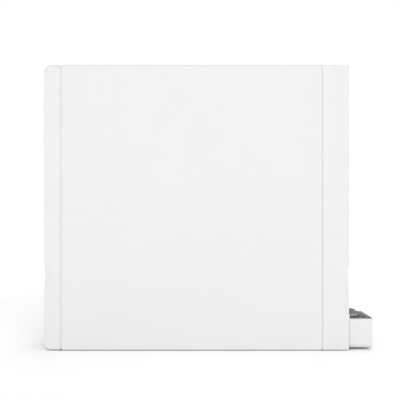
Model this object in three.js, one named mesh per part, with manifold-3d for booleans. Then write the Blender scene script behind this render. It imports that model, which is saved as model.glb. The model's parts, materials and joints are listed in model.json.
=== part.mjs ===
// Wall battery unit: a flat lithium battery for a house, hung on a wall bracket or stood on its feet.
// Millimetres, +Z up, front towards -Y. The origin is on the floor, under the middle of the whole unit.
// The case is three sections side by side: a rounded left end cap, a folded front shell and a right end
// frame with a hinged service door. A small wiring box with cable glands stands out low on the right.
// Inside are two rows of prismatic cells and, above them, the battery management electronics.

import * as THREE from "three";
import { mergeVertices } from "three/addons/utils/BufferGeometryUtils.js";
import Module from "manifold-3d";

const wasm = await Module();
wasm.setup();

// ---------------------------------------------------------------- driving dimensions

const BODY_W = 742; // case, left to right
const BODY_H = 693; // case, without its feet
const CASE_D = 190; // case, front to back
const TOTAL_D = 206; // front of the case to the wall
const FOOT_H = 2;
const BOX_OUT = 58; // how far the wiring box stands out on the right

const CAP_W = 39; // left end cap
const CAP_SEAM = 4;
const END_W = 63.5; // right end frame
const END_SEAM = 2.5;

const SHEET = 2; // folded sheet metal
const WALL = 3; // moulded walls
const FIT = 0.3; // gap between pieces that meet
const CAP_R = 16; // the cap's two outer corners
const CAP_EDGE_R = 4; // the cap's front and back edges
const EDGE_R = 3; // upper folds of the shell and the box
const BASE_R = 1.2; // lower fold of the shell

const X0 = -(BODY_W + BOX_OUT) / 2; // left side
const X1 = X0 + BODY_W; // right side of the case
const YF = -TOTAL_D / 2; // front
const YB = YF + CASE_D; // back of the case
const YW = TOTAL_D / 2; // wall
const Z0 = FOOT_H;
const Z1 = FOOT_H + BODY_H;
const YM = (YF + YB) / 2; // middle of the case's depth

const SHELL_X0 = X0 + CAP_W + CAP_SEAM;
const SHELL_X1 = X1 - END_W - END_SEAM;
const LIP = { into: 18, under: 11, side: SHEET + 0.4, t: 2.5 }; // an end piece's ring inside the shell

const DOOR = { y0: -70, y1: 54, z0: 330, z1: 604, gap: 1, thick: 9, skin: 2.5, axisIn: 4.5 };
const JAMB_D = 14;
const PIN = { r: 1.5, x: X1 - DOOR.axisIn, y: DOOR.y0 + DOOR.gap + DOOR.axisIn, in: 7, gap: 0.4 };
const TUB = { y0: -62, y1: 46, z0: 338, z1: 596, floor: 58, flange: 3 };
const SEAL = { w: 3, top: 1.5, side: 0.5 };
const LATCH = {
  y: 34, z: 467, reach: 15.5, cam: 8, catchHalf: 12, // the cam and the slot it turns into
  boss: 15.8, recess: 13, disc: 12.5, hole: 4.4, shaft: 4, wing: 9.5, wingHalf: 2.2,
};
const BREAKER = {
  y0: -46, y1: 8, z0: 468, z1: 562, top: 30, axisIn: 37, z: 515, tilt: 25,
  shoulder: 20, step: 8, slot: 15, slotY: 12, slotZ: 19, lever: 11.4, hub: 6,
};
const PANEL = { y0: -40, y1: 24, z0: 350, z1: 446, top: 44, r: 4 };
const BUTTON = { y: -8, z: 418, r: 8, proud: 3, long: 12, gap: 0.5, collar: 11, collarHigh: 1.5 };
const LENS = { y0: -30, y1: 14, z0: 390, z1: 397, deep: 2, gap: 0.4 };
const DUST_CAP = { y0: -28, y1: 12, z0: 362, z1: 378, thick: 4 };
const GRIP = { y0: YM - 55, y1: YM + 55, z0: 420, z1: 456, depth: 28, wall: 2.5, r: 8 };

const BOX = {
  x0: X1 + 3, x1: X1 + BOX_OUT, y0: YF + 3, y1: YF + 116, z0: 6, top: 78.2, wall: 3, end: 6,
  slope: 5.5, slopeIn: 6.5, turn: 9, // the lower edges: a slope, and the radius above it
};
const PLATE = { z0: BOX.top + FIT, z1: BOX.top + FIT + 1.5, inset: 1.2 };
const WIRE_HOLE = { y0: -78, y1: -18, z0: 26, z1: 56 };
const GLAND = {
  x: X1 + 18.6, y: YF + 43, flat: 27, base: 4.4, bore: 5.4, wall: 1.6, high: 16.4, shank: 10, shankLow: 9,
};
const COMM = {
  x: X1 + 22, y: YF + 95, flat: 24, base: 4, dome: 5.9, domeLow: 9.5, domeTip: 7, shank: 7, shankLow: 6,
};
const PLATE_GAP = 0.4; // round each gland's shank
const FLANGE = { up: 10, y0: BOX.y0 + 0.8, y1: BOX.y1 - 2, low: 2 };
const TERMINALS = { y0: -38, y1: -4, z1: 40, wide: 26, slotY: [3, 21], slot: 10, slotDeep: 12, side: 4 };
const RAIL = { x: BOX.x1 - 12.5, half: 2.2, high: 1.7, front: 1.6, back: 9 };
const VENT = { y: 42, z: 150, r: 13, stem: 6, rim: 10, out: 3, rimOut: 3.6 };

const CELL = { w: 71.7, d: 170, h: 200, pitch: 73, perRow: 8, r: 3 };
const POST = { in: 60, halfX: 11, halfY: 9, high: 4 }; // a cell's two terminals
const LINK = { half: 46, halfY: 8, plate: 2, high: 4.5, carrier: 74 }; // copper between neighbouring cells
const ROW_X0 = SHELL_X0 + 10;
const ROW_Z = [Z0 + 18, Z0 + 252];
const FRAME_T = 3;

const SINK = { x0: -150, x1: 150, z0: 425, z1: 545, base: 4, fins: 13, finT: 2.2, window: 14 };
const SPREADER = { half: 120, front: YB - 9.3 };
const BOARD = { half: 128, z0: 494, z1: 600, behind: 14, t: 1.6 };
const CONTACTOR = { y: -28, z0: 610, half: 32, r: 28, top: 672, postR: 5, postIn: 14, postTop: 680 };
const FUSE = { x0: 40, x1: 110, y: -28, z: 640, r: 15, tab: 20, tabT: 3 };
const BAR = { x0: 140, x1: 262, z: 660, drop: 70, wide: 20, t: 3 };

const HOOK = { half: 160, z0: 606, lip: 634, z1: 653, out: 9.2 };
const BRACKET = { half: 200, z0: 556, step: 628, z1: 650.6, out: 12, slotX: 180, slotZ: 605 };
const SPACER = { half: 200, z0: 70, z1: 100, r: 6 };
const FOOT = { left: 16, right: 1.5, in: 6, deep: 24, r: 3 };

// ---------------------------------------------------------------- shapes

// The solid of a geometry, from its positions alone.
function solid(geometry) {
  const bare = geometry.index ? geometry.toNonIndexed() : geometry.clone();
  bare.deleteAttribute("normal");
  bare.deleteAttribute("uv");
  const merged = mergeVertices(bare, 1e-4);
  const vertProperties = merged.attributes.position.array;
  const triVerts = new Uint32Array(merged.index.array);
  return new wasm.Manifold(new wasm.Mesh({ numProp: 3, vertProperties, triVerts }));
}

function geometryOf(manifold) {
  const mesh = manifold.getMesh();
  const geometry = new THREE.BufferGeometry();
  geometry.setAttribute("position", new THREE.BufferAttribute(mesh.vertProperties, 3));
  geometry.setIndex(new THREE.BufferAttribute(mesh.triVerts, 1));
  return geometry;
}

function cut(body, ...tools) {
  return geometryOf(tools.reduce((left, tool) => left.subtract(solid(tool)), solid(body)));
}

function join(first, ...others) {
  return geometryOf(others.reduce((sum, other) => sum.add(solid(other)), solid(first)));
}

function box(x0, x1, y0, y1, z0, z1) {
  const made = new THREE.BoxGeometry(x1 - x0, y1 - y0, z1 - z0);
  return made.translate((x0 + x1) / 2, (y0 + y1) / 2, (z0 + z1) / 2);
}

// A rectangle with its own radius at each corner: low-left, low-right, high-right, high-left.
function roundRect(u0, v0, u1, v1, [a, b, c, d]) {
  const s = new THREE.Shape();
  s.moveTo(u0 + a, v0);
  s.lineTo(u1 - b, v0);
  if (b) s.absarc(u1 - b, v0 + b, b, -Math.PI / 2, 0);
  s.lineTo(u1, v1 - c);
  if (c) s.absarc(u1 - c, v1 - c, c, 0, Math.PI / 2);
  s.lineTo(u0 + d, v1);
  if (d) s.absarc(u0 + d, v1 - d, d, Math.PI / 2, Math.PI);
  s.lineTo(u0, v0 + a);
  if (a) s.absarc(u0 + a, v0 + a, a, Math.PI, Math.PI * 1.5);
  return s;
}

function polygon(points) {
  return new THREE.Shape(points.map(([u, v]) => new THREE.Vector2(u, v)));
}

// Extrudes a shape along an axis. The shape is in (y, z) for x, (x, z) for y and (x, y) for z.
function extrude(shape, axis, from, to, { bevel = 0, curve = 6, steps = 3 } = {}) {
  const made = new THREE.ExtrudeGeometry(shape, {
    depth: to - from - 2 * bevel,
    curveSegments: curve,
    bevelEnabled: bevel > 0,
    bevelThickness: bevel,
    bevelSize: bevel,
    bevelOffset: -bevel,
    bevelSegments: steps,
  });
  if (axis === "z") return made.translate(0, 0, from + bevel);
  const x = new THREE.Vector3(1, 0, 0);
  const y = new THREE.Vector3(0, 1, 0);
  const z = new THREE.Vector3(0, 0, 1);
  const turn = new THREE.Matrix4();
  if (axis === "x") turn.makeBasis(y, z, x);
  else turn.makeBasis(x, z, y.clone().negate());
  made.applyMatrix4(turn);
  return axis === "x" ? made.translate(from + bevel, 0, 0) : made.translate(0, to - bevel, 0);
}

function rod(axis, radius, from, to, u, v, sides = 24) {
  const circle = new THREE.Shape().absarc(u, v, radius, 0, Math.PI * 2);
  return extrude(circle, axis, from, to, { curve: sides });
}

// A hexagon with flats at its front and back.
function hexagon(u, v, acrossFlats) {
  const r = acrossFlats / Math.sqrt(3);
  const corners = [0, 1, 2, 3, 4, 5].map((k) => (k * Math.PI) / 3);
  return polygon(corners.map((a) => [u + r * Math.cos(a), v + r * Math.sin(a)]));
}

// ---------------------------------------------------------------- materials and nodes

function material(color, roughness, metalness = 0) {
  return new THREE.MeshStandardMaterial({ color, roughness, metalness });
}

const white = material(0xf2f2f2, 0.5);
const paleGrey = material(0xb9bcbe, 0.6);
const midGrey = material(0x7b7d7f, 0.6);
const darkGrey = material(0x54575a, 0.55);
const black = material(0x1d1e20, 0.5);
const rubber = material(0x2a2b2c, 0.85);
const steel = material(0xa9acae, 0.45, 1);
const nickel = material(0xd6d4cc, 0.3, 1);
const aluminium = material(0xc4c7c9, 0.4, 1);
const copper = material(0xb97a4a, 0.35, 1);
const cellBlue = material(0x2f5f9e, 0.5);
const board = material(0x1f5a3a, 0.6);
const green = material(0x59c06a, 0.3);
const amber = material(0xc9792b, 0.5);

const unit = new THREE.Group();
unit.name = "wall_battery_unit";

function node(name, geometry, look, parent = unit) {
  geometry.computeVertexNormals();
  const mesh = new THREE.Mesh(geometry, look);
  mesh.name = name;
  parent.add(mesh);
  return mesh;
}

// ---------------------------------------------------------------- case

// The ring that an end piece pushes into the shell. It shows as the bottom of the seam.
function lip(x0, x1) {
  const { side, t } = LIP;
  const back = YB - SHEET - FIT - side;
  const outer = box(x0, x1, YF + side, back, Z0 + side, Z1 - side);
  return cut(outer, box(x0 - 1, x1 + 1, YF + side + t, back - t, Z0 + side + t, Z1 - side - t));
}

function leftEndCap() {
  const over = 12;
  const r = CAP_R - WALL;
  const outline = roundRect(X0, Z0, X0 + CAP_W + over, Z1, [CAP_R, 0, 0, CAP_R]);
  const hollow = roundRect(X0 + WALL, Z0 + WALL, X0 + CAP_W + over, Z1 - WALL, [r, 0, 0, r]);
  const block = extrude(outline, "y", YF, YB, { bevel: CAP_EDGE_R, curve: 14, steps: 5 });
  const shell = cut(
    block,
    box(X0 + CAP_W, X0 + CAP_W + 2 * over, YF - 1, YB + 1, Z0 - 1, Z1 + 1),
    extrude(hollow, "y", YF + WALL, YB - WALL),
  );
  const whole = join(shell, lip(X0 + CAP_W - LIP.under, X0 + CAP_W + CAP_SEAM + LIP.into));
  const grip = roundRect(GRIP.y0, GRIP.z0, GRIP.y1, GRIP.z1, Array(4).fill(GRIP.r));
  return cut(whole, extrude(grip, "x", X0 - 1, X0 + WALL + 1, { curve: 5 }));
}

function gripCup() {
  const t = GRIP.wall;
  const sunk = 0.6;
  const outline = (inset) => {
    const corners = Array(4).fill(GRIP.r - inset);
    return roundRect(GRIP.y0 + inset, GRIP.z0 + inset, GRIP.y1 - inset, GRIP.z1 - inset, corners);
  };
  const outer = outline(FIT);
  const inner = outline(t);
  return cut(
    extrude(outer, "x", X0 + sunk, X0 + GRIP.depth, { curve: 3 }),
    extrude(inner, "x", X0 - 1, X0 + GRIP.depth - t, { curve: 3 }),
  );
}

// A C-section: front, top and bottom in one folded sheet, with a return flange along the back.
function frontShell() {
  const back = YB - SHEET - FIT;
  const fold = 16;
  const s = new THREE.Shape();
  s.moveTo(back, Z0 + fold);
  s.lineTo(back, Z0);
  s.lineTo(YF + BASE_R, Z0);
  s.absarc(YF + BASE_R, Z0 + BASE_R, BASE_R, -Math.PI / 2, -Math.PI, true);
  s.lineTo(YF, Z1 - EDGE_R);
  s.absarc(YF + EDGE_R, Z1 - EDGE_R, EDGE_R, Math.PI, Math.PI / 2, true);
  s.lineTo(back, Z1);
  s.lineTo(back, Z1 - fold);
  s.lineTo(back - SHEET, Z1 - fold);
  s.lineTo(back - SHEET, Z1 - SHEET);
  s.lineTo(YF + SHEET, Z1 - SHEET);
  s.lineTo(YF + SHEET, Z0 + SHEET);
  s.lineTo(back - SHEET, Z0 + SHEET);
  s.lineTo(back - SHEET, Z0 + fold);
  return extrude(s, "x", SHELL_X0, SHELL_X1, { curve: 4 });
}

function backPlate() {
  const plate = box(SHELL_X0, SHELL_X1, YB - SHEET, YB, Z0, Z1);
  const inset = SINK.window;
  return cut(
    plate,
    box(SINK.x0 + inset, SINK.x1 - inset, YB - SHEET - 1, YB + 1, SINK.z0 + inset, SINK.z1 - inset),
  );
}

function rightEndFrame() {
  const over = 12;
  const r = 2;
  const outline = roundRect(X1 - END_W - over, Z0, X1, Z1, [0, r, r, 0]);
  const block = extrude(outline, "y", YF, YB, { bevel: 1.5, curve: 2, steps: 2 });
  const hollow = box(X1 - END_W - 2 * over, X1 - WALL, YF + WALL, YB - WALL, Z0 + WALL, Z1 - WALL);
  const shell = cut(
    block,
    box(X1 - END_W - 2 * over, X1 - END_W, YF - 1, YB + 1, Z0 - 1, Z1 + 1),
    hollow,
  );
  const jamb = box(X1 - JAMB_D, X1 - 1, DOOR.y0 - WALL, DOOR.y1 + WALL, DOOR.z0 - WALL, DOOR.z1 + WALL);
  const whole = join(shell, jamb, lip(X1 - END_W - END_SEAM - LIP.into, X1 - END_W + LIP.under));
  return cut(
    whole,
    box(X1 - JAMB_D - 1, X1 + 1, DOOR.y0, DOOR.y1, DOOR.z0, DOOR.z1),
    box(X1 - WALL - 1, X1 + 1, WIRE_HOLE.y0, WIRE_HOLE.y1, WIRE_HOLE.z0, WIRE_HOLE.z1),
    rod("z", PIN.r + 0.2, DOOR.z0 - 2 * WALL, DOOR.z1 + 2 * WALL, PIN.x, PIN.y, 8),
    rod("x", VENT.stem + PLATE_GAP, X1 - WALL - 1, X1 + 1, VENT.y, VENT.z, 10),
  );
}

// ---------------------------------------------------------------- service door and bay

function serviceDoor() {
  const y0 = DOOR.y0 + DOOR.gap;
  const y1 = DOOR.y1 - DOOR.gap;
  const z0 = DOOR.z0 + DOOR.gap;
  const z1 = DOOR.z1 - DOOR.gap;
  const inner = X1 - DOOR.thick;
  const s = new THREE.Shape();
  s.moveTo(X1, y1 - 1);
  s.lineTo(X1 - 1, y1);
  s.lineTo(inner, y1);
  s.lineTo(inner, PIN.y);
  s.absarc(PIN.x, PIN.y, DOOR.axisIn, Math.PI, Math.PI * 2);
  const block = extrude(s, "z", z0, z1, { curve: 10 });
  const panY = [y0 + 2 * DOOR.axisIn, y1 - WALL];
  const pan = box(inner - 1, X1 - DOOR.skin, ...panY, z0 + WALL, z1 - WALL);
  const boss = rod("x", LATCH.boss, inner + 1, X1 - 1, LATCH.y, LATCH.z, 28);
  const pinHole = PIN.r + PIN.gap;
  return cut(
    join(cut(block, pan), boss),
    rod("x", LATCH.recess, X1 - 4, X1 + 1, LATCH.y, LATCH.z, 28),
    rod("x", LATCH.hole, inner - 1, X1, LATCH.y, LATCH.z, 16),
    rod("z", pinHole, z0 - 1, z0 + PIN.in + 1, PIN.x, PIN.y, 12),
    rod("z", pinHole, z1 - PIN.in - 1, z1 + 1, PIN.x, PIN.y, 12),
  );
}

// A flush thumb turn with a shaft and a cam that catches behind the tub's wall. At rest it is unlatched.
function doorLatch() {
  const { y, z, wing: long, wingHalf } = LATCH;
  const disc = rod("x", LATCH.disc, X1 - 3.7, X1 - 2.2, y, z, 28);
  const wing = box(X1 - 3, X1 - 0.2, y - wingHalf, y + wingHalf, z - long, z + long);
  const shaft = rod("x", LATCH.shaft, X1 - 19, X1 - 3, y, z, 16);
  const half = LATCH.cam / 2;
  const cam = box(X1 - 20.5, X1 - 18, y - half, y + half, z - LATCH.reach, z + half);
  return join(disc, wing, shaft, cam);
}

function bayTub() {
  const t = WALL;
  const flangeX = X1 - JAMB_D - FIT;
  const flange = box(flangeX - TUB.flange, flangeX, DOOR.y0 - t, DOOR.y1 + t, DOOR.z0 - t, DOOR.z1 + t);
  const floor = X1 - TUB.floor;
  const cup = box(floor - t, flangeX - 1, TUB.y0 - t, TUB.y1 + t, TUB.z0 - t, TUB.z1 + t);
  const catchZ = [LATCH.z - LATCH.catchHalf, LATCH.z + LATCH.catchHalf];
  return cut(
    join(flange, cup),
    box(floor, flangeX + 1, TUB.y0, TUB.y1, TUB.z0, TUB.z1),
    box(X1 - 21.3, X1 - 17.3, TUB.y1 - 1, TUB.y1 + t + 1, ...catchZ),
  );
}

function doorSeal() {
  const { w, top, side } = SEAL;
  const x0 = X1 - JAMB_D;
  const x1 = X1 - DOOR.thick - FIT;
  const y0 = TUB.y0 - side;
  const y1 = DOOR.y1 - DOOR.gap;
  const z0 = DOOR.z0 + top;
  const z1 = DOOR.z1 - top;
  return cut(box(x0, x1, y0 - w, y1, z0, z1), box(x0 - 1, x1 + 1, y0, y1 - w, z0 + w, z1 - w));
}

function breakerBody() {
  const { y0, y1, z0, z1, z, shoulder, step, slot, slotY, slotZ } = BREAKER;
  const top = X1 - BREAKER.top;
  const mid = (y0 + y1) / 2;
  return cut(
    box(X1 - TUB.floor + FIT, top, y0, y1, z0, z1),
    box(top - step, top + 1, y0 - 1, y1 + 1, z0 - 1, z0 + shoulder),
    box(top - step, top + 1, y0 - 1, y1 + 1, z1 - shoulder, z1 + 1),
    box(top - slot, top + 1, mid - slotY, mid + slotY, z - slotZ, z + slotZ),
  );
}

// The lever is made level and then turned up to its ON place.
function breakerLever() {
  const mid = (BREAKER.y0 + BREAKER.y1) / 2;
  const half = BREAKER.lever;
  const hub = rod("y", BREAKER.hub, mid - half, mid + half, 0, 0, 20);
  const paddle = polygon([[2, -4.5], [18, -3], [21, -1.5], [21, 1.5], [18, 3], [2, 4.5]]);
  const lever = join(hub, extrude(paddle, "y", mid - half + 1, mid + half - 1));
  lever.rotateY(THREE.MathUtils.degToRad(-BREAKER.tilt));
  return lever.translate(X1 - BREAKER.axisIn, 0, BREAKER.z);
}

function controlPanel() {
  const top = X1 - PANEL.top;
  const floor = X1 - TUB.floor + FIT;
  const outline = roundRect(PANEL.y0, PANEL.z0, PANEL.y1, PANEL.z1, Array(4).fill(PANEL.r));
  const collar = rod("x", BUTTON.collar, top - 1, top + BUTTON.collarHigh, BUTTON.y, BUTTON.z, 24);
  return cut(
    join(extrude(outline, "x", floor, top, { curve: 2 }), collar),
    rod("x", BUTTON.r + BUTTON.gap, floor + 2, top + 2, BUTTON.y, BUTTON.z, 24),
    box(top - LENS.deep, top + 1, LENS.y0, LENS.y1, LENS.z0, LENS.z1),
  );
}

function powerButton() {
  const face = X1 - PANEL.top + BUTTON.proud;
  return rod("x", BUTTON.r, face - BUTTON.long, face, BUTTON.y, BUTTON.z, 24);
}

function statusLens() {
  const { y0, y1, z0, z1, deep, gap } = LENS;
  const top = X1 - PANEL.top;
  return box(top - deep + FIT, top + gap, y0 + gap, y1 - gap, z0 + gap, z1 - gap);
}

function portDustCap() {
  const low = X1 - PANEL.top + FIT;
  return box(low, low + DUST_CAP.thick, DUST_CAP.y0, DUST_CAP.y1, DUST_CAP.z0, DUST_CAP.z1);
}

// ---------------------------------------------------------------- wiring box

// The box from the side. Its lower edges slope in to a narrower underside.
function boxSide() {
  const { y0, y1, z0, top, slope, slopeIn, turn } = BOX;
  const lean = Math.atan2(slopeIn, slope);
  const inset = turn * (1 - Math.cos(lean));
  const middle = z0 + slope + turn * Math.sin(lean);
  const s = new THREE.Shape();
  s.moveTo(y0 + inset + slopeIn, z0);
  s.lineTo(y0 + inset, z0 + slope);
  s.absarc(y0 + turn, middle, turn, Math.PI + lean, Math.PI, true);
  s.absarc(y0 + EDGE_R, top - EDGE_R, EDGE_R, Math.PI, Math.PI / 2, true);
  s.absarc(y1 - EDGE_R, top - EDGE_R, EDGE_R, Math.PI / 2, 0, true);
  s.absarc(y1 - turn, middle, turn, 0, -lean, true);
  s.lineTo(y1 - inset - slopeIn, z0);
  return s;
}

function wiringBox() {
  const room = roundRect(BOX.y0 + BOX.end, BOX.z0 + BOX.wall, BOX.y1 - BOX.end, BOX.top + 5, [8, 8, 0, 0]);
  return cut(
    extrude(boxSide(), "x", BOX.x0, BOX.x1, { curve: 6 }),
    extrude(room, "x", BOX.x0 + BOX.wall, BOX.x1 - BOX.wall, { curve: 4 }),
    box(BOX.x0 - 1, BOX.x0 + BOX.wall + 1, WIRE_HOLE.y0, WIRE_HOLE.y1, WIRE_HOLE.z0, WIRE_HOLE.z1),
  );
}

// The flange that seals the box to the case. It stands a little above the box.
function wiringFlange() {
  const { y0, y1, up, low } = FLANGE;
  const ring = roundRect(y0, BOX.z0 + low, y1, BOX.top + up, [11, 11, 2, 2]);
  return cut(
    extrude(ring, "x", X1 + FIT, BOX.x0 - FIT, { curve: 3 }),
    box(X1 - 1, BOX.x0 + 1, WIRE_HOLE.y0, WIRE_HOLE.y1, WIRE_HOLE.z0, WIRE_HOLE.z1),
  );
}

function glandPlate() {
  const x1 = BOX.x1 - PLATE.inset;
  const plate = box(BOX.x0 + PLATE.inset, x1, BOX.y0 + PLATE.inset, BOX.y1 - EDGE_R, PLATE.z0, PLATE.z1);
  return cut(
    plate,
    rod("z", GLAND.shank + PLATE_GAP, PLATE.z0 - 1, PLATE.z1 + 1, GLAND.x, GLAND.y, 12),
    rod("z", COMM.shank + PLATE_GAP, PLATE.z0 - 1, PLATE.z1 + 1, COMM.x, COMM.y, 10),
  );
}

function powerGlandBody() {
  const low = PLATE.z1 + FIT;
  const hex = extrude(hexagon(GLAND.x, GLAND.y, GLAND.flat), "z", low, low + GLAND.base);
  const shank = rod("z", GLAND.shank, PLATE.z0 - GLAND.shankLow, low + 1, GLAND.x, GLAND.y, 12);
  const through = [PLATE.z0 - GLAND.shankLow - 1, low + GLAND.base + 1];
  return cut(join(hex, shank), rod("z", GLAND.bore + GLAND.wall, ...through, GLAND.x, GLAND.y, 12));
}

// A ring turned about the gland's axis, from (radius, height) pairs above the hexagon.
function turnedOnGland(profile, low, sides) {
  const ring = new THREE.LatheGeometry(profile.map(([r, h]) => new THREE.Vector2(r, h)), sides);
  return ring.rotateX(Math.PI / 2).translate(GLAND.x, GLAND.y, low);
}

function powerGlandNut() {
  const low = PLATE.z1 + FIT + GLAND.base + FIT;
  const b = GLAND.bore;
  const profile = [[b, 0], [13.4, 0], [13.4, 1.8], [12.2, 3], [10, 5.2], [7.6, 7.2], [b, 7.8], [b, 0]];
  return turnedOnGland(profile, low, 28);
}

// The plug that keeps the gland shut until a cable is fitted.
function glandPlug() {
  const low = PLATE.z0 - GLAND.shankLow + 1;
  const high = PLATE.z1 + GLAND.high - low;
  const r = GLAND.bore - FIT;
  const profile = [[0, 0], [r, 0], [r, high - 2.4], [4, high - 0.5], [3, high], [0, high]];
  return turnedOnGland(profile, low, 20);
}

// The data gland is moulded shut, to be cut open when it is used.
function commGland() {
  const low = PLATE.z1 + FIT;
  const hex = extrude(hexagon(COMM.x, COMM.y, COMM.flat), "z", low, low + COMM.base);
  const cap = new THREE.CylinderGeometry(COMM.domeTip, COMM.domeLow, COMM.dome, 20).rotateX(Math.PI / 2);
  cap.translate(COMM.x, COMM.y, low + COMM.base + COMM.dome / 2 - 0.2);
  const shank = rod("z", COMM.shank, PLATE.z0 - COMM.shankLow, low + 1, COMM.x, COMM.y, 10);
  return join(hex, cap, shank);
}

// The rail on the gland plate that a cable duct's cover clips to.
function ductRail() {
  const low = PLATE.z1 + FIT;
  const { x, half, high, front, back } = RAIL;
  return box(x - half, x + half, BOX.y0 + front, BOX.y1 - back, low, low + high);
}

function terminalBlock() {
  const x0 = BOX.x0 + BOX.wall + 1;
  const { y0, y1, z1, wide, slotY, slot, slotDeep, side } = TERMINALS;
  const body = box(x0, x0 + wide, y0, y1, BOX.z0 + BOX.wall + FIT, z1);
  const slots = slotY.map((dy) => {
    return box(x0 + side, x0 + wide - side, y0 + dy, y0 + dy + slot, z1 - slotDeep, z1 + 1);
  });
  return cut(body, ...slots);
}

// A membrane vent that lets the case breathe.
function breatherVent() {
  const { y, z, r, stem, rim, out, rimOut } = VENT;
  const cap = rod("x", r, X1 + FIT, X1 + out, y, z, 14);
  const shank = rod("x", stem, X1 - WALL - 3, X1 + 1, y, z, 10);
  const top = rod("x", rim, X1 + 2, X1 + rimOut, y, z, 14);
  return join(cap, shank, top);
}

// ---------------------------------------------------------------- cells and electronics

// A prismatic cell: the can with its two terminals and vent on top.
function cell(row, place) {
  const x0 = ROW_X0 + FRAME_T + 1 + place * CELL.pitch;
  const z0 = ROW_Z[row] + FRAME_T + FIT;
  const y0 = YM - CELL.d / 2;
  const top = z0 + CELL.h;
  const outline = roundRect(x0, y0, x0 + CELL.w, y0 + CELL.d, Array(4).fill(CELL.r));
  const can = extrude(outline, "z", z0, top, { curve: 2 });
  const mid = x0 + CELL.w / 2;
  const { halfX, halfY, high } = POST;
  const posts = [YM - POST.in, YM + POST.in].map((y) => {
    return box(mid - halfX, mid + halfX, y - halfY, y + halfY, top - 1, top + high);
  });
  return join(can, ...posts, rod("z", 9, top - 1, top + 0.8, mid, YM, 12));
}

// A tray with end plates that clamps one row of cells.
function moduleFrame(row) {
  const x0 = ROW_X0;
  const x1 = ROW_X0 + 2 * FRAME_T + 2 + (CELL.perRow - 1) * CELL.pitch + CELL.w;
  const z0 = ROW_Z[row];
  const high = z0 + CELL.h + 28;
  const s = polygon([
    [x0, z0], [x1, z0], [x1, high], [x1 - FRAME_T, high], [x1 - FRAME_T, z0 + FRAME_T],
    [x0 + FRAME_T, z0 + FRAME_T], [x0 + FRAME_T, high], [x0, high],
  ]);
  return extrude(s, "y", YM - CELL.d / 2, YM + CELL.d / 2);
}

// Insulating carrier with the copper links' raised backs, one over each pair of posts.
function busbarCarrier(row) {
  const x0 = ROW_X0 + FRAME_T + 4;
  const length = (CELL.perRow - 1) * CELL.pitch + CELL.w - 6;
  const z0 = ROW_Z[row] + FRAME_T + FIT + CELL.h + POST.high + FIT;
  const { half, halfY, plate, high, carrier } = LINK;
  const tray = box(x0, x0 + length, YM - carrier, YM + carrier, z0, z0 + plate);
  const links = [...Array(CELL.perRow - 1).keys()].map((k) => {
    const y = YM + (k % 2 ? POST.in : -POST.in);
    const mid = x0 + CELL.w / 2 + (k + 0.5) * CELL.pitch;
    return box(mid - half, mid + half, y - halfY, y + halfY, z0 + 1, z0 + high);
  });
  return join(tray, ...links);
}

// A finned plate over the window in the back plate.
function heatSink() {
  const y0 = YB + FIT;
  const tip = YW - 1.5;
  const pitch = (SINK.x1 - SINK.x0 - SINK.finT) / (SINK.fins - 1);
  const points = [[SINK.x0, y0], [SINK.x1, y0]];
  for (let k = SINK.fins - 1; k >= 0; k--) {
    const left = SINK.x0 + k * pitch;
    const right = left + SINK.finT;
    points.push([right, tip], [left, tip]);
    if (k > 0) points.push([left, y0 + SINK.base], [left - pitch + SINK.finT, y0 + SINK.base]);
  }
  return extrude(polygon(points), "z", SINK.z0, SINK.z1);
}

// The block that takes the heat from the electronics through the window to the heat sink.
function heatSpreader() {
  const inset = SINK.window + 4;
  const { half, front } = SPREADER;
  return box(-half, half, front, YB, SINK.z0 + inset, SINK.z1 - inset);
}

// The battery management board, with its row of relays and its processor.
function bmsBoard() {
  const face = YB - SHEET - BOARD.behind;
  const plate = box(-BOARD.half, BOARD.half, face - BOARD.t, face, BOARD.z0, BOARD.z1);
  const relays = [-100, -60, -20, 20, 60, 100].map((x) => {
    return box(x - 8, x + 8, face - 6, face - 1, BOARD.z0 + 10, BOARD.z0 + 26);
  });
  const processor = box(-30, 30, face - 5, face - 1, BOARD.z0 + 56, BOARD.z0 + 86);
  return join(plate, ...relays, processor);
}

function contactor(x) {
  const { y, z0, half, r, top, postR, postIn, postTop } = CONTACTOR;
  const base = box(x - half, x + half, y - half, y + half, z0, z0 + 6);
  const can = rod("z", r, z0 + 5, top, x, y, 24);
  const posts = [-postIn, postIn].map((dx) => rod("z", postR, top - 1, postTop, x + dx, y, 12));
  return join(base, can, ...posts);
}

function fuse() {
  const { x0, x1, y, z, r, tab, tabT } = FUSE;
  const tube = rod("x", r, x0, x1, y, z, 20);
  return join(tube, box(x0 - tab, x1 + tab, y - tab / 2, y + tab / 2, z - tabT / 2, z + tabT / 2));
}

// A flat copper bar with its right end bent down.
function bar(y0) {
  const { x0, x1, z, drop, wide, t } = BAR;
  const s = polygon([[x0, z], [x1, z], [x1, z - drop], [x1 + t, z - drop], [x1 + t, z + t], [x0, z + t]]);
  return extrude(s, "y", y0, y0 + wide);
}

// ---------------------------------------------------------------- hanging and standing

// A hook along the back of the case, open below.
function hangRail() {
  const { half, z0, lip: lipZ, z1, out } = HOOK;
  const y0 = YB + FIT;
  const y1 = y0 + out + SHEET;
  const s = polygon([
    [y0, z0], [y0 + SHEET, z0], [y0 + SHEET, z1 - SHEET], [y1 - SHEET, z1 - SHEET],
    [y1 - SHEET, lipZ], [y1, lipZ], [y1, z1], [y0, z1],
  ]);
  return extrude(s, "x", -half, half);
}

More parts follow.
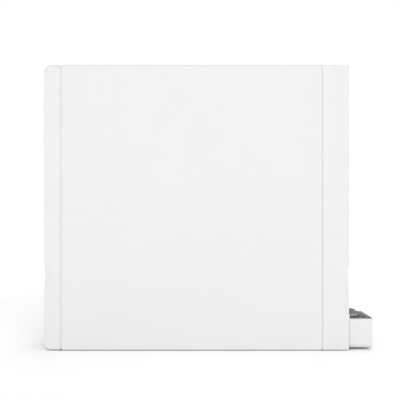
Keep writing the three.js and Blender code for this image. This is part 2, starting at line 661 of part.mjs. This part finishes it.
// The rail screwed to the wall. Its upstand sits inside the hook.
function wallBracket() {
  const { half, z0, step, z1, out, slotX, slotZ } = BRACKET;
  const y0 = YW - out;
  const s = polygon([
    [YW - SHEET, z0], [YW, z0], [YW, step + SHEET], [y0 + SHEET, step + SHEET],
    [y0 + SHEET, z1], [y0, z1], [y0, step], [YW - SHEET, step],
  ]);
  const slots = [-slotX, slotX].map((x) => {
    const slot = roundRect(x - 12, slotZ - 5, x + 12, slotZ + 5, [5, 5, 5, 5]);
    return extrude(slot, "y", YW - SHEET - 1, YW + 1, { curve: 3 });
  });
  return cut(extrude(s, "x", -half, half), ...slots);
}

// Holds the bottom of the case as far from the wall as the bracket holds the top.
function lowerSpacer() {
  const s = roundRect(-SPACER.half, SPACER.z0, SPACER.half, SPACER.z1, Array(4).fill(SPACER.r));
  return extrude(s, "y", YB + FIT, YW, { curve: 3 });
}

// A rubber strip along the underside.
function foot(y0) {
  const corners = Array(4).fill(FOOT.r);
  const s = roundRect(X0 + FOOT.left, y0, X1 - FOOT.right, y0 + FOOT.deep, corners);
  return extrude(s, "z", 0, FOOT_H - 0.1, { curve: 3 });
}

// ---------------------------------------------------------------- the unit

node("left_end_cap", leftEndCap(), white);
node("grip_cup", gripCup(), paleGrey);
node("front_shell", frontShell(), white);
node("back_plate", backPlate(), steel);
node("right_end_frame", rightEndFrame(), white);
node("breather_vent", breatherVent(), darkGrey);

const bay = new THREE.Group();
node("service_door", serviceDoor(), white, bay);
node("door_latch", doorLatch(), paleGrey, bay);
node("door_seal", doorSeal(), rubber, bay);
[["door_pin_lower", DOOR.z0 - WALL], ["door_pin_upper", DOOR.z1 - PIN.in]].forEach(([name, z]) => {
  node(name, rod("z", PIN.r, z, z + PIN.in + WALL, PIN.x, PIN.y, 12), steel, bay);
});
node("bay_tub", bayTub(), paleGrey, bay);
node("breaker_body", breakerBody(), darkGrey, bay);
node("breaker_lever", breakerLever(), black, bay);
node("control_panel", controlPanel(), darkGrey, bay);
node("power_button", powerButton(), paleGrey, bay);
node("status_lens", statusLens(), green, bay);
node("port_dust_cap", portDustCap(), rubber, bay);
unit.add(bay);

const wiring = new THREE.Group();
node("wiring_box", wiringBox(), white, wiring);
node("wiring_flange", wiringFlange(), white, wiring);
node("gland_plate", glandPlate(), darkGrey, wiring);
node("power_gland_body", powerGlandBody(), nickel, wiring);
node("power_gland_nut", powerGlandNut(), midGrey, wiring);
node("gland_plug", glandPlug(), midGrey, wiring);
node("comm_gland", commGland(), midGrey, wiring);
node("duct_rail", ductRail(), midGrey, wiring);
node("terminal_block", terminalBlock(), black, wiring);
unit.add(wiring);

const pack = new THREE.Group();
["lower", "upper"].forEach((level, row) => {
  node(`${level}_module_frame`, moduleFrame(row), steel, pack);
  node(`${level}_busbar_carrier`, busbarCarrier(row), copper, pack);
  for (let place = 0; place < CELL.perRow; place++) {
    node(`${level}_cell_${place + 1}`, cell(row, place), cellBlue, pack);
  }
});
unit.add(pack);

const electronics = new THREE.Group();
node("heat_sink", heatSink(), aluminium, electronics);
node("heat_spreader", heatSpreader(), aluminium, electronics);
node("bms_board", bmsBoard(), board, electronics);
node("main_contactor", contactor(-120), black, electronics);
node("precharge_contactor", contactor(-40), black, electronics);
node("main_fuse", fuse(), amber, electronics);
node("positive_bar", bar(-60), copper, electronics);
node("negative_bar", bar(10), copper, electronics);
unit.add(electronics);

node("hang_rail", hangRail(), steel);
node("wall_bracket", wallBracket(), steel);
node("lower_spacer", lowerSpacer(), rubber);
node("front_foot", foot(YF + FOOT.in), rubber);
node("rear_foot", foot(YB - FOOT.in - FOOT.deep), rubber);

export default unit;
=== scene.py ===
"""Looks of the wall battery unit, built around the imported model. Metres, front towards -Y, +Z up."""

import json
import math

import bmesh
import bpy
from mathutils import Matrix, Vector


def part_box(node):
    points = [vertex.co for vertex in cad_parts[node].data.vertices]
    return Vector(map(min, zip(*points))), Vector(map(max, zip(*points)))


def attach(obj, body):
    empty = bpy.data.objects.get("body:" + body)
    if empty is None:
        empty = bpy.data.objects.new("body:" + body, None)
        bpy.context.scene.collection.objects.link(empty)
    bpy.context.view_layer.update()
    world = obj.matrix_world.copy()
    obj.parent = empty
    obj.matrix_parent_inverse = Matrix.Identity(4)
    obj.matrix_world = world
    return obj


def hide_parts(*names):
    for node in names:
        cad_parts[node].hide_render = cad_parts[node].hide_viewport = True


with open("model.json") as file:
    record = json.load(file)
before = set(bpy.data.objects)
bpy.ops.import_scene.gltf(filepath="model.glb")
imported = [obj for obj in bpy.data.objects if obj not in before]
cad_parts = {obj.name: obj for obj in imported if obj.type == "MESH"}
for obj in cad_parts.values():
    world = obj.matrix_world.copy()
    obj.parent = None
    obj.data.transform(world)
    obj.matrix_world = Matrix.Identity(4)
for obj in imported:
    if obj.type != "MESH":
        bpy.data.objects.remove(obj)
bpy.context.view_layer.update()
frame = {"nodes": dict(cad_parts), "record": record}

MM = 0.001
BODY_OF = {node: body for body, nodes in frame["record"]["behaviour"]["bodies"].items() for node in nodes}
SLOT_OF = {part["node"]: part["material_slot"] for part in frame["record"]["subparts"]}

cap_lo, cap_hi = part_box("left_end_cap")
shell_lo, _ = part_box("front_shell")
end_lo, end_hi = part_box("right_end_frame")
plate_lo, plate_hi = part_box("back_plate")

# ---------------------------------------------------------------- camera


def make_camera():
    """Level camera, straight on, at the middle of the case and a little under half its height."""
    distance = 1.65
    width_in_view = 0.9728
    height = 0.3351
    off_middle = 1.1 * MM
    data = bpy.data.cameras.new("camera")
    data.sensor_width = 36
    data.lens = data.sensor_width * distance / width_in_view
    data.shift_x = 0.0075
    data.shift_y = 0.0325
    camera = bpy.data.objects.new("camera", data)
    camera.location = ((cap_lo.x + end_hi.x) / 2 + off_middle, shell_lo.y - distance, height)
    camera.rotation_euler = (math.pi / 2, 0, 0)
    bpy.context.scene.collection.objects.link(camera)
    bpy.context.scene.camera = camera


make_camera()

# ---------------------------------------------------------------- materials


class Nodes:
    """Short calls for building one material's node tree."""

    def __init__(self, name):
        self.material = bpy.data.materials.new(name)
        self.material.use_nodes = True
        self.tree = self.material.node_tree
        self.shader = self.tree.nodes["Principled BSDF"]
        self.place = self.tree.nodes.new("ShaderNodeTexCoord").outputs["Object"]

    def add(self, kind, **values):
        node = self.tree.nodes.new(kind)
        for key, value in values.items():
            setattr(node, key, value)
        return node

    def link(self, source, target):
        self.tree.links.new(source, target)

    def stretched(self, scale):
        mapping = self.add("ShaderNodeMapping")
        mapping.inputs["Scale"].default_value = scale
        self.link(self.place, mapping.inputs["Vector"])
        return mapping.outputs["Vector"]

    def noise(self, scale, detail=3, vector=None):
        node = self.add("ShaderNodeTexNoise")
        node.inputs["Scale"].default_value = scale
        node.inputs["Detail"].default_value = detail
        node.inputs["Roughness"].default_value = 0.55
        self.link(vector or self.place, node.inputs["Vector"])
        return node.outputs["Fac"]

    def ranged(self, value, from_lo, from_hi, to_lo, to_hi):
        node = self.add("ShaderNodeMapRange")
        limits = {"From Min": from_lo, "From Max": from_hi, "To Min": to_lo, "To Max": to_hi}
        for key, number in limits.items():
            node.inputs[key].default_value = number
        self.link(value, node.inputs["Value"])
        return node.outputs["Result"]

    def mixed(self, factor, first, second):
        """Mixes two colours, each a tuple or a socket."""
        node = self.add("ShaderNodeMix", data_type="RGBA")
        self.link(factor, node.inputs["Factor"])
        for key, colour in (("A", first), ("B", second)):
            socket = [s for s in node.inputs if s.name == key and s.type == "RGBA"][0]
            if isinstance(colour, tuple):
                socket.default_value = (*colour, 1)
            else:
                self.link(colour, socket)
        return [s for s in node.outputs if s.type == "RGBA"][0]

    def bumped(self, height, strength, distance):
        node = self.add("ShaderNodeBump")
        node.inputs["Strength"].default_value = strength
        node.inputs["Distance"].default_value = distance
        self.link(height, node.inputs["Height"])
        return node.outputs["Normal"]

    def edges(self, radius):
        """1 along sharp edges and 0 on flat faces."""
        rounded = self.add("ShaderNodeBevel", samples=4)
        rounded.inputs["Radius"].default_value = radius
        geometry = self.add("ShaderNodeNewGeometry")
        dot = self.add("ShaderNodeVectorMath", operation="DOT_PRODUCT")
        self.link(rounded.outputs["Normal"], dot.inputs[0])
        self.link(geometry.outputs["True Normal"], dot.inputs[1])
        return self.ranged(dot.outputs["Value"], 0.995, 0.86, 0, 1)


WEAR_RADIUS = 0.8 * MM  # how far in from an edge a finish is rubbed


def tinted(colour, factor):
    return tuple(min(1, c * factor) for c in colour)


def surface(
    slot, colour, roughness, metallic=0, mottle=(9, 0.03), grain=(900, 0.12, 0.1), stretch=(1, 1, 1),
    uneven=0.06, wear=None, coat=0, specular=0.5,
):
    """A finish with cloudy colour, a fine grain, uneven gloss and, where wear is a colour, rubbed edges.

    mottle is (scale, amount) and grain is (scale, strength, depth in millimetres). uneven is how far the
    roughness strays either way.
    """
    cloud_scale, cloud_amount = mottle
    grain_scale, grain_strength, grain_depth = grain
    n = Nodes(slot)
    place = n.stretched(stretch)
    cloud = n.ranged(n.noise(cloud_scale), 0.3, 0.7, 0, 1)
    tone = n.mixed(cloud, tinted(colour, 1 - cloud_amount), tinted(colour, 1 + cloud_amount))
    if wear:
        patchy = n.ranged(n.noise(45, 4), 0.42, 0.62, 0, 1)
        both = n.add("ShaderNodeMath", operation="MULTIPLY")
        n.link(n.edges(WEAR_RADIUS), both.inputs[0])
        n.link(patchy, both.inputs[1])
        tone = n.mixed(both.outputs["Value"], tone, wear)
    n.link(tone, n.shader.inputs["Base Color"])
    gloss = n.ranged(n.noise(38, 4, vector=place), 0.3, 0.7, roughness - uneven, roughness + uneven)
    n.link(gloss, n.shader.inputs["Roughness"])
    fine = n.noise(grain_scale, 2, vector=place)
    n.link(n.bumped(fine, grain_strength, grain_depth * MM), n.shader.inputs["Normal"])
    n.shader.inputs["Metallic"].default_value = metallic
    n.shader.inputs["Specular IOR Level"].default_value = specular
    n.shader.inputs["Coat Weight"].default_value = coat
    return n


def make_materials():
    made = {
        "case_white": surface(
            "case_white", (0.79, 0.79, 0.79), 0.5, mottle=(5, 0.008), grain=(1100, 0.1, 0.06),
            uneven=0.04, wear=(0.84, 0.84, 0.835), specular=0.4,
        ),
        "light_plastic": surface("light_plastic", (0.44, 0.45, 0.455), 0.55, grain=(1500, 0.25, 0.08),
                                 wear=(0.52, 0.53, 0.53)),
        "dark_plastic": surface("dark_plastic", (0.108, 0.111, 0.115), 0.6, grain=(1300, 0.25, 0.08),
                                mottle=(30, 0.09), wear=(0.15, 0.15, 0.155), specular=0.3),
        "grey_plastic": surface("grey_plastic", (0.26, 0.264, 0.268), 0.55, grain=(1400, 0.25, 0.08),
                                wear=(0.34, 0.345, 0.35)),
        "black_plastic": surface("black_plastic", (0.016, 0.016, 0.017), 0.42, grain=(1600, 0.2, 0.06),
                                 mottle=(40, 0.12), wear=(0.05, 0.05, 0.052)),
        "soft_rubber": surface("soft_rubber", (0.024, 0.025, 0.026), 0.82, grain=(700, 0.3, 0.15),
                               mottle=(60, 0.15), wear=(0.055, 0.055, 0.056)),
        "nickel": surface("nickel", (0.66, 0.64, 0.59), 0.26, metallic=1, stretch=(1, 1, 14),
                          grain=(300, 0.12, 0.05), wear=(0.8, 0.79, 0.75)),
        "aluminium": surface("aluminium", (0.56, 0.57, 0.58), 0.4, metallic=1, stretch=(1, 1, 0.02),
                             grain=(1500, 0.2, 0.05), mottle=(18, 0.05), wear=(0.75, 0.76, 0.77)),
        "busbar_copper": surface("busbar_copper", (0.5, 0.2, 0.08), 0.36, metallic=1, mottle=(30, 0.2),
                                 stretch=(0.05, 1, 1), grain=(1200, 0.15, 0.05), wear=(0.72, 0.36, 0.18)),
        "lens_green": surface("lens_green", (0.1, 0.5, 0.14), 0.16, mottle=(60, 0.08),
                              grain=(400, 0.05, 0.05), coat=0.6, uneven=0.03),
        "fuse_ceramic": surface("fuse_ceramic", (0.55, 0.19, 0.03), 0.25, mottle=(50, 0.1),
                                grain=(500, 0.1, 0.1), coat=0.4, uneven=0.05),
    }
    made["zinc_steel"] = zinc_steel()
    made["cell_film"] = cell_film()
    made["circuit_board"] = circuit_board()
    return {slot: n.material for slot, n in made.items()}


def zinc_steel():
    """Zinc-plated sheet, with a faint spangle in its gloss."""
    n = surface("zinc_steel", (0.46, 0.47, 0.48), 0.42, metallic=1, grain=(500, 0.08, 0.05),
                mottle=(14, 0.06), wear=(0.66, 0.67, 0.68))
    spangle = n.add("ShaderNodeTexVoronoi", feature="F1")
    spangle.inputs["Scale"].default_value = 90
    n.link(n.place, spangle.inputs["Vector"])
    split = n.add("ShaderNodeSeparateColor")
    n.link(spangle.outputs["Color"], split.inputs["Color"])
    n.link(n.ranged(split.outputs["Red"], 0, 1, 0.37, 0.47), n.shader.inputs["Roughness"])
    return n


def cell_film():
    """Shrink film over an aluminium can, with faint creases."""
    n = surface("cell_film", (0.03, 0.12, 0.36), 0.32, mottle=(25, 0.12),
                wear=(0.07, 0.2, 0.48), coat=0.5)
    crease = n.noise(60, 3, vector=n.stretched((1, 1, 0.15)))
    n.link(n.bumped(crease, 0.2, 0.4 * MM), n.shader.inputs["Normal"])
    return n


def circuit_board():
    """Solder mask over copper traces."""
    n = surface("circuit_board", (0.014, 0.1, 0.045), 0.35, grain=(900, 0.1, 0.05))
    bricks = n.add("ShaderNodeTexBrick")
    bricks.inputs["Scale"].default_value = 260
    bricks.inputs["Color1"].default_value = (0.012, 0.085, 0.038, 1)
    bricks.inputs["Color2"].default_value = (0.02, 0.14, 0.06, 1)
    bricks.inputs["Mortar"].default_value = (0.03, 0.2, 0.08, 1)
    turn = n.add("ShaderNodeMapping")
    turn.inputs["Rotation"].default_value = (math.pi / 2, 0, 0)
    n.link(n.place, turn.inputs["Vector"])
    n.link(turn.outputs["Vector"], bricks.inputs["Vector"])
    n.link(bricks.outputs["Color"], n.shader.inputs["Base Color"])
    return n


MATERIALS = make_materials()

# ---------------------------------------------------------------- making pieces


def object_from(name, bm, body, slot):
    """Makes a piece from a bmesh, with its finish, riding on a CAD body."""
    bmesh.ops.recalc_face_normals(bm, faces=bm.faces)
    mesh = bpy.data.meshes.new(name)
    bm.to_mesh(mesh)
    bm.free()
    obj = bpy.data.objects.new(name, mesh)
    bpy.context.scene.collection.objects.link(obj)
    mesh.materials.append(MATERIALS[slot])
    mesh.shade_smooth()
    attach(obj, body)
    return obj


def rounded(obj, width, segments):
    """Rounds the piece's sharp edges by a width in millimetres. Its flat faces stay flat in the shading."""
    bevel = obj.modifiers.new("edges", "BEVEL")
    bevel.width = width * MM
    bevel.segments = segments
    bevel.limit_method = "ANGLE"
    bevel.angle_limit = math.radians(34)
    bevel.harden_normals = True
    weight = obj.modifiers.new("normals", "WEIGHTED_NORMAL")
    weight.keep_sharp = True
    weight.weight = 60


def refined(node, width, segments=3):
    """A finished copy of a CAD node, with its flat faces whole and its sharp edges rounded."""
    bm = bmesh.new()
    bm.from_mesh(frame["nodes"][node].data)
    bmesh.ops.remove_doubles(bm, verts=bm.verts, dist=1e-6)
    bmesh.ops.dissolve_limit(bm, angle_limit=math.radians(0.6), verts=bm.verts, edges=bm.edges)
    obj = object_from(f"{node}_finished", bm, BODY_OF[node], SLOT_OF[node])
    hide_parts(node)
    rounded(obj, width, segments)


# Each turns +Z to its axis.
TURN_TO = {
    "X": Matrix.Rotation(math.pi / 2, 4, "Y"),
    "Y": Matrix.Rotation(-math.pi / 2, 4, "X"),
    "Z": Matrix.Identity(4),
}


def loft(bm, rings, place):
    """Joins rings of equal length with faces, and fills the first and the last."""
    rows = [[bm.verts.new(place @ Vector(point)) for point in outline] for outline in rings]
    count = len(rows[0])
    for low, high in zip(rows, rows[1:]):
        for k in range(count):
            bm.faces.new((low[k], low[(k + 1) % count], high[(k + 1) % count], high[k]))
    bm.faces.new(rows[0])
    bm.faces.new(rows[-1])


def ring(radius, height, sides=36, lobes=0, depth=0.0):
    """A circle at a height, with lobes pressed in when they are asked for. Millimetres."""
    points = []
    for k in range(sides):
        a = 2 * math.pi * k / sides
        r = radius * (1 - depth * (0.5 - 0.5 * math.cos(lobes * a)))
        points.append((r * math.cos(a) * MM, r * math.sin(a) * MM, height * MM))
    return points


def stadium(radius, reach, height, sides=12):
    """A slot shape: two half circles, joined. Its length runs along the local Y. Millimetres."""
    points = []
    for k in range(2 * sides + 2):
        up = k <= sides
        a = math.pi * (k if up else k - 1) / sides
        shift = reach if up else -reach
        points.append((radius * math.cos(a) * MM, (radius * math.sin(a) + shift) * MM, height * MM))
    return points


def screws(name, places, axis, radius, height, slot="zinc_steel"):
    """Low round screw heads with a six-lobed socket, all in one piece on the case.

    The places are in metres, and the radius and height in millimetres.
    """
    bm = bmesh.new()
    socket = radius * 0.48
    sunk = -0.3
    for place in places:
        rings = [
            ring(radius, sunk),
            ring(radius, height * 0.35),
            ring(radius * 0.93, height * 0.75),
            ring(radius * 0.75, height),
            ring(socket, height, lobes=6, depth=0.28),
            ring(socket * 0.96, height * 0.1, lobes=6, depth=0.28),
        ]
        loft(bm, rings, Matrix.Translation(place) @ TURN_TO[axis])
    object_from(name, bm, "case", slot)


# ---------------------------------------------------------------- pieces

# How far each piece's sharp edges are rounded, in millimetres.
ROUNDING = {
    "left_end_cap": 0.6,
    "grip_cup": 0.8,
    "front_shell": 0.5,
    "back_plate": 0.4,
    "right_end_frame": 0.6,
    "service_door": 0.5,
    "door_latch": 0.5,
    "door_seal": 0.8,
    "door_pin_lower": 0.3,
    "door_pin_upper": 0.3,
    "bay_tub": 0.6,
    "breaker_body": 0.6,
    "breaker_lever": 0.8,
    "control_panel": 0.7,
    "power_button": 0.7,
    "status_lens": 0.4,
    "port_dust_cap": 0.9,
    "breather_vent": 0.4,
    "wiring_box": 0.5,
    "wiring_flange": 0.4,
    "gland_plate": 0.4,
    "power_gland_body": 0.5,
    "power_gland_nut": 0.4,
    "gland_plug": 0.3,
    "comm_gland": 0.5,
    "duct_rail": 0.3,
    "terminal_block": 0.5,
    "lower_module_frame": 0.5,
    "upper_module_frame": 0.5,
    "lower_busbar_carrier": 0.4,
    "upper_busbar_carrier": 0.4,
    "heat_sink": 0.4,
    "heat_spreader": 0.6,
    "bms_board": 0.3,
    "main_contactor": 0.8,
    "precharge_contactor": 0.8,
    "main_fuse": 0.6,
    "positive_bar": 0.5,
    "negative_bar": 0.5,
    "hang_rail": 0.5,
    "wall_bracket": 0.5,
    "lower_spacer": 1.2,
    "front_foot": 0.4,
    "rear_foot": 0.4,
}


def make_refined():
    cell_rounding = 0.8
    for node, width in ROUNDING.items():
        refined(node, width)
    for node in BODY_OF:
        if "_cell_" in node:
            refined(node, cell_rounding, segments=2)


make_refined()


def spread(low, high, count):
    return [low + (high - low) * k / (count - 1) for k in range(count)]


def make_case_screws():
    """Screws along the back plate's top and bottom, and on the back and right side of the end pieces."""
    edge = 8 * MM
    along = spread(plate_lo.x + 3 * edge, plate_hi.x - 3 * edge, 6)
    rows = (plate_lo.z + edge, plate_hi.z - edge)
    screws("back_plate_screws", [(x, plate_hi.y, z) for x in along for z in rows], "Y", 3.6, 2)
    from_end = 40 * MM
    heights = spread(cap_lo.z + from_end, cap_hi.z - from_end, 4)
    ends = [(cap_lo.x + 22 * MM, cap_hi.y, z) for z in heights]
    ends += [(end_hi.x - 28 * MM, end_hi.y, z) for z in heights]
    screws("end_screws", ends, "Y", 3.2, 1.8)
    from_corner = 12 * MM
    _, second, third, top = heights
    side = [(end_hi.x, y, z) for y in (end_lo.y + from_corner, end_hi.y - from_corner)
            for z in (third, top, second)]
    screws("side_screws", side, "X", 2.8, 1, slot="case_white")


def make_hook_screws():
    rail_lo, rail_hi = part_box("hang_rail")
    sheet = 2 * MM
    y = rail_lo.y + sheet
    from_end = 20 * MM
    along = spread(rail_lo.x + from_end, rail_hi.x - from_end, 6)
    screws("hook_screws", [(x, y, rail_lo.z + 12 * MM) for x in along], "Y", 3.6, 1.6)


def make_plate_screws():
    low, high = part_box("gland_plate")
    left = low.x + 5.5 * MM
    back = high.y - 6 * MM
    places = [(left, low.y + 9 * MM), (left, back), (high.x - 20 * MM, back)]
    screws("gland_plate_screws", [(x, y, high.z) for x, y in places], "Z", 2.6, 1.1)


def make_bay_screws():
    low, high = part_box("breaker_body")
    shoulder = high.x - 8 * MM
    side, end = 13 * MM, 10 * MM
    terminals = [(shoulder, y, z) for y in (low.y + side, high.y - side) for z in (low.z + end, high.z - end)]
    screws("breaker_terminals", terminals, "X", 4.2, 1.2)
    low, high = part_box("control_panel")
    face = high.x - 1.5 * MM
    inset = 5 * MM
    corners = [(face, y, z) for y in (low.y + inset, high.y - inset) for z in (low.z + inset, high.z - inset)]
    screws("control_panel_screws", corners, "X", 2, 0.7)


def make_ribs():
    """Stiffening ribs pressed into the back plate. Their section is (inset, height) pairs, in millimetres."""
    bm = bmesh.new()
    long, half = 110, 9
    from_side = 70 * MM
    middle_height = 0.26
    section = ((0, -0.2), (0.6, 0.5), (2.2, 1.3), (4.5, 1.8), (7.5, 2.0))
    for x in spread(plate_lo.x + from_side, plate_hi.x - from_side, 5):
        rings = [stadium(half - inset, long - half, height) for inset, height in section]
        loft(bm, rings, Matrix.Translation((x, plate_hi.y, middle_height)) @ TURN_TO["Y"])
    object_from("back_plate_ribs", bm, "case", "zinc_steel")


make_case_screws()
make_hook_screws()
make_plate_screws()
make_bay_screws()
make_ribs()

# ---------------------------------------------------------------- stage and light


def make_stage():
    """A plain white floor whose edge glows, so that it runs into the white backdrop all round."""
    radius, glow_from, glow_full = 2.6, 1.2, 2.4
    bm = bmesh.new()
    bmesh.ops.create_circle(bm, cap_ends=True, segments=96, radius=radius)
    mesh = bpy.data.meshes.new("floor")
    bm.to_mesh(mesh)
    bm.free()
    floor = bpy.data.objects.new("floor", mesh)
    bpy.context.scene.collection.objects.link(floor)
    n = Nodes("floor_white")
    n.shader.inputs["Base Color"].default_value = (0.9, 0.9, 0.9, 1)
    n.shader.inputs["Roughness"].default_value = 1
    n.shader.inputs["Specular IOR Level"].default_value = 0
    length = n.add("ShaderNodeVectorMath", operation="LENGTH")
    n.link(n.place, length.inputs["Vector"])
    glow = n.ranged(length.outputs["Value"], glow_from, glow_full, 0, 0.9)
    n.link(glow, n.shader.inputs["Emission Strength"])
    n.shader.inputs["Emission Color"].default_value = (1, 1, 1, 1)
    mesh.materials.append(n.material)
    return floor


def make_world():
    """An even studio. The camera sees the backdrop as plain white, but it lights the unit more dimly."""
    as_light, as_seen = 0.47, 1.05
    world = bpy.data.worlds.new("studio")
    world.use_nodes = True
    tree = world.node_tree
    background = tree.nodes["Background"]
    background.inputs["Color"].default_value = (1, 1, 1, 1)
    seen = tree.nodes.new("ShaderNodeLightPath")
    strength = tree.nodes.new("ShaderNodeMapRange")
    strength.inputs["To Min"].default_value = as_light
    strength.inputs["To Max"].default_value = as_seen
    tree.links.new(seen.outputs["Is Camera Ray"], strength.inputs["Value"])
    tree.links.new(strength.outputs["Result"], background.inputs["Strength"])
    bpy.context.scene.world = world
    bpy.context.scene.view_settings.view_transform = "Standard"


def soft_light(name, place, target, size, power, only=None):
    """A large rectangular light. With only, it lights that collection and nothing else."""
    data = bpy.data.lights.new(name, "AREA")
    data.shape = "RECTANGLE"
    data.size, data.size_y = size
    data.energy = power
    light = bpy.data.objects.new(name, data)
    light.location = place
    aim = Vector(target) - Vector(place)
    light.rotation_euler = aim.to_track_quat("-Z", "Y").to_euler()
    light.light_linking.receiver_collection = only
    bpy.context.scene.collection.objects.link(light)


floor_only = bpy.data.collections.new("floor_only")
floor_only.objects.link(make_stage())
make_world()
soft_light("front", (-0.35, -4.5, 0.9), (0, 0, 0.35), (1.8, 1.8), 38)
soft_light("front_high", (0.5, -3.4, 2.3), (0, 0, 0.35), (2.0, 2.0), 31)
soft_light("back_low", (0.5, 4.0, 1.2), (0, 0, 0.3), (2.5, 1.6), 26)
soft_light("floor_top", (0, -0.6, 3.2), (0, 0, 0), (3.5, 3.0), 46, floor_only)
soft_light("floor_back", (0.6, 3.0, 2.4), (0, 0, 0), (3.5, 2.5), 46, floor_only)
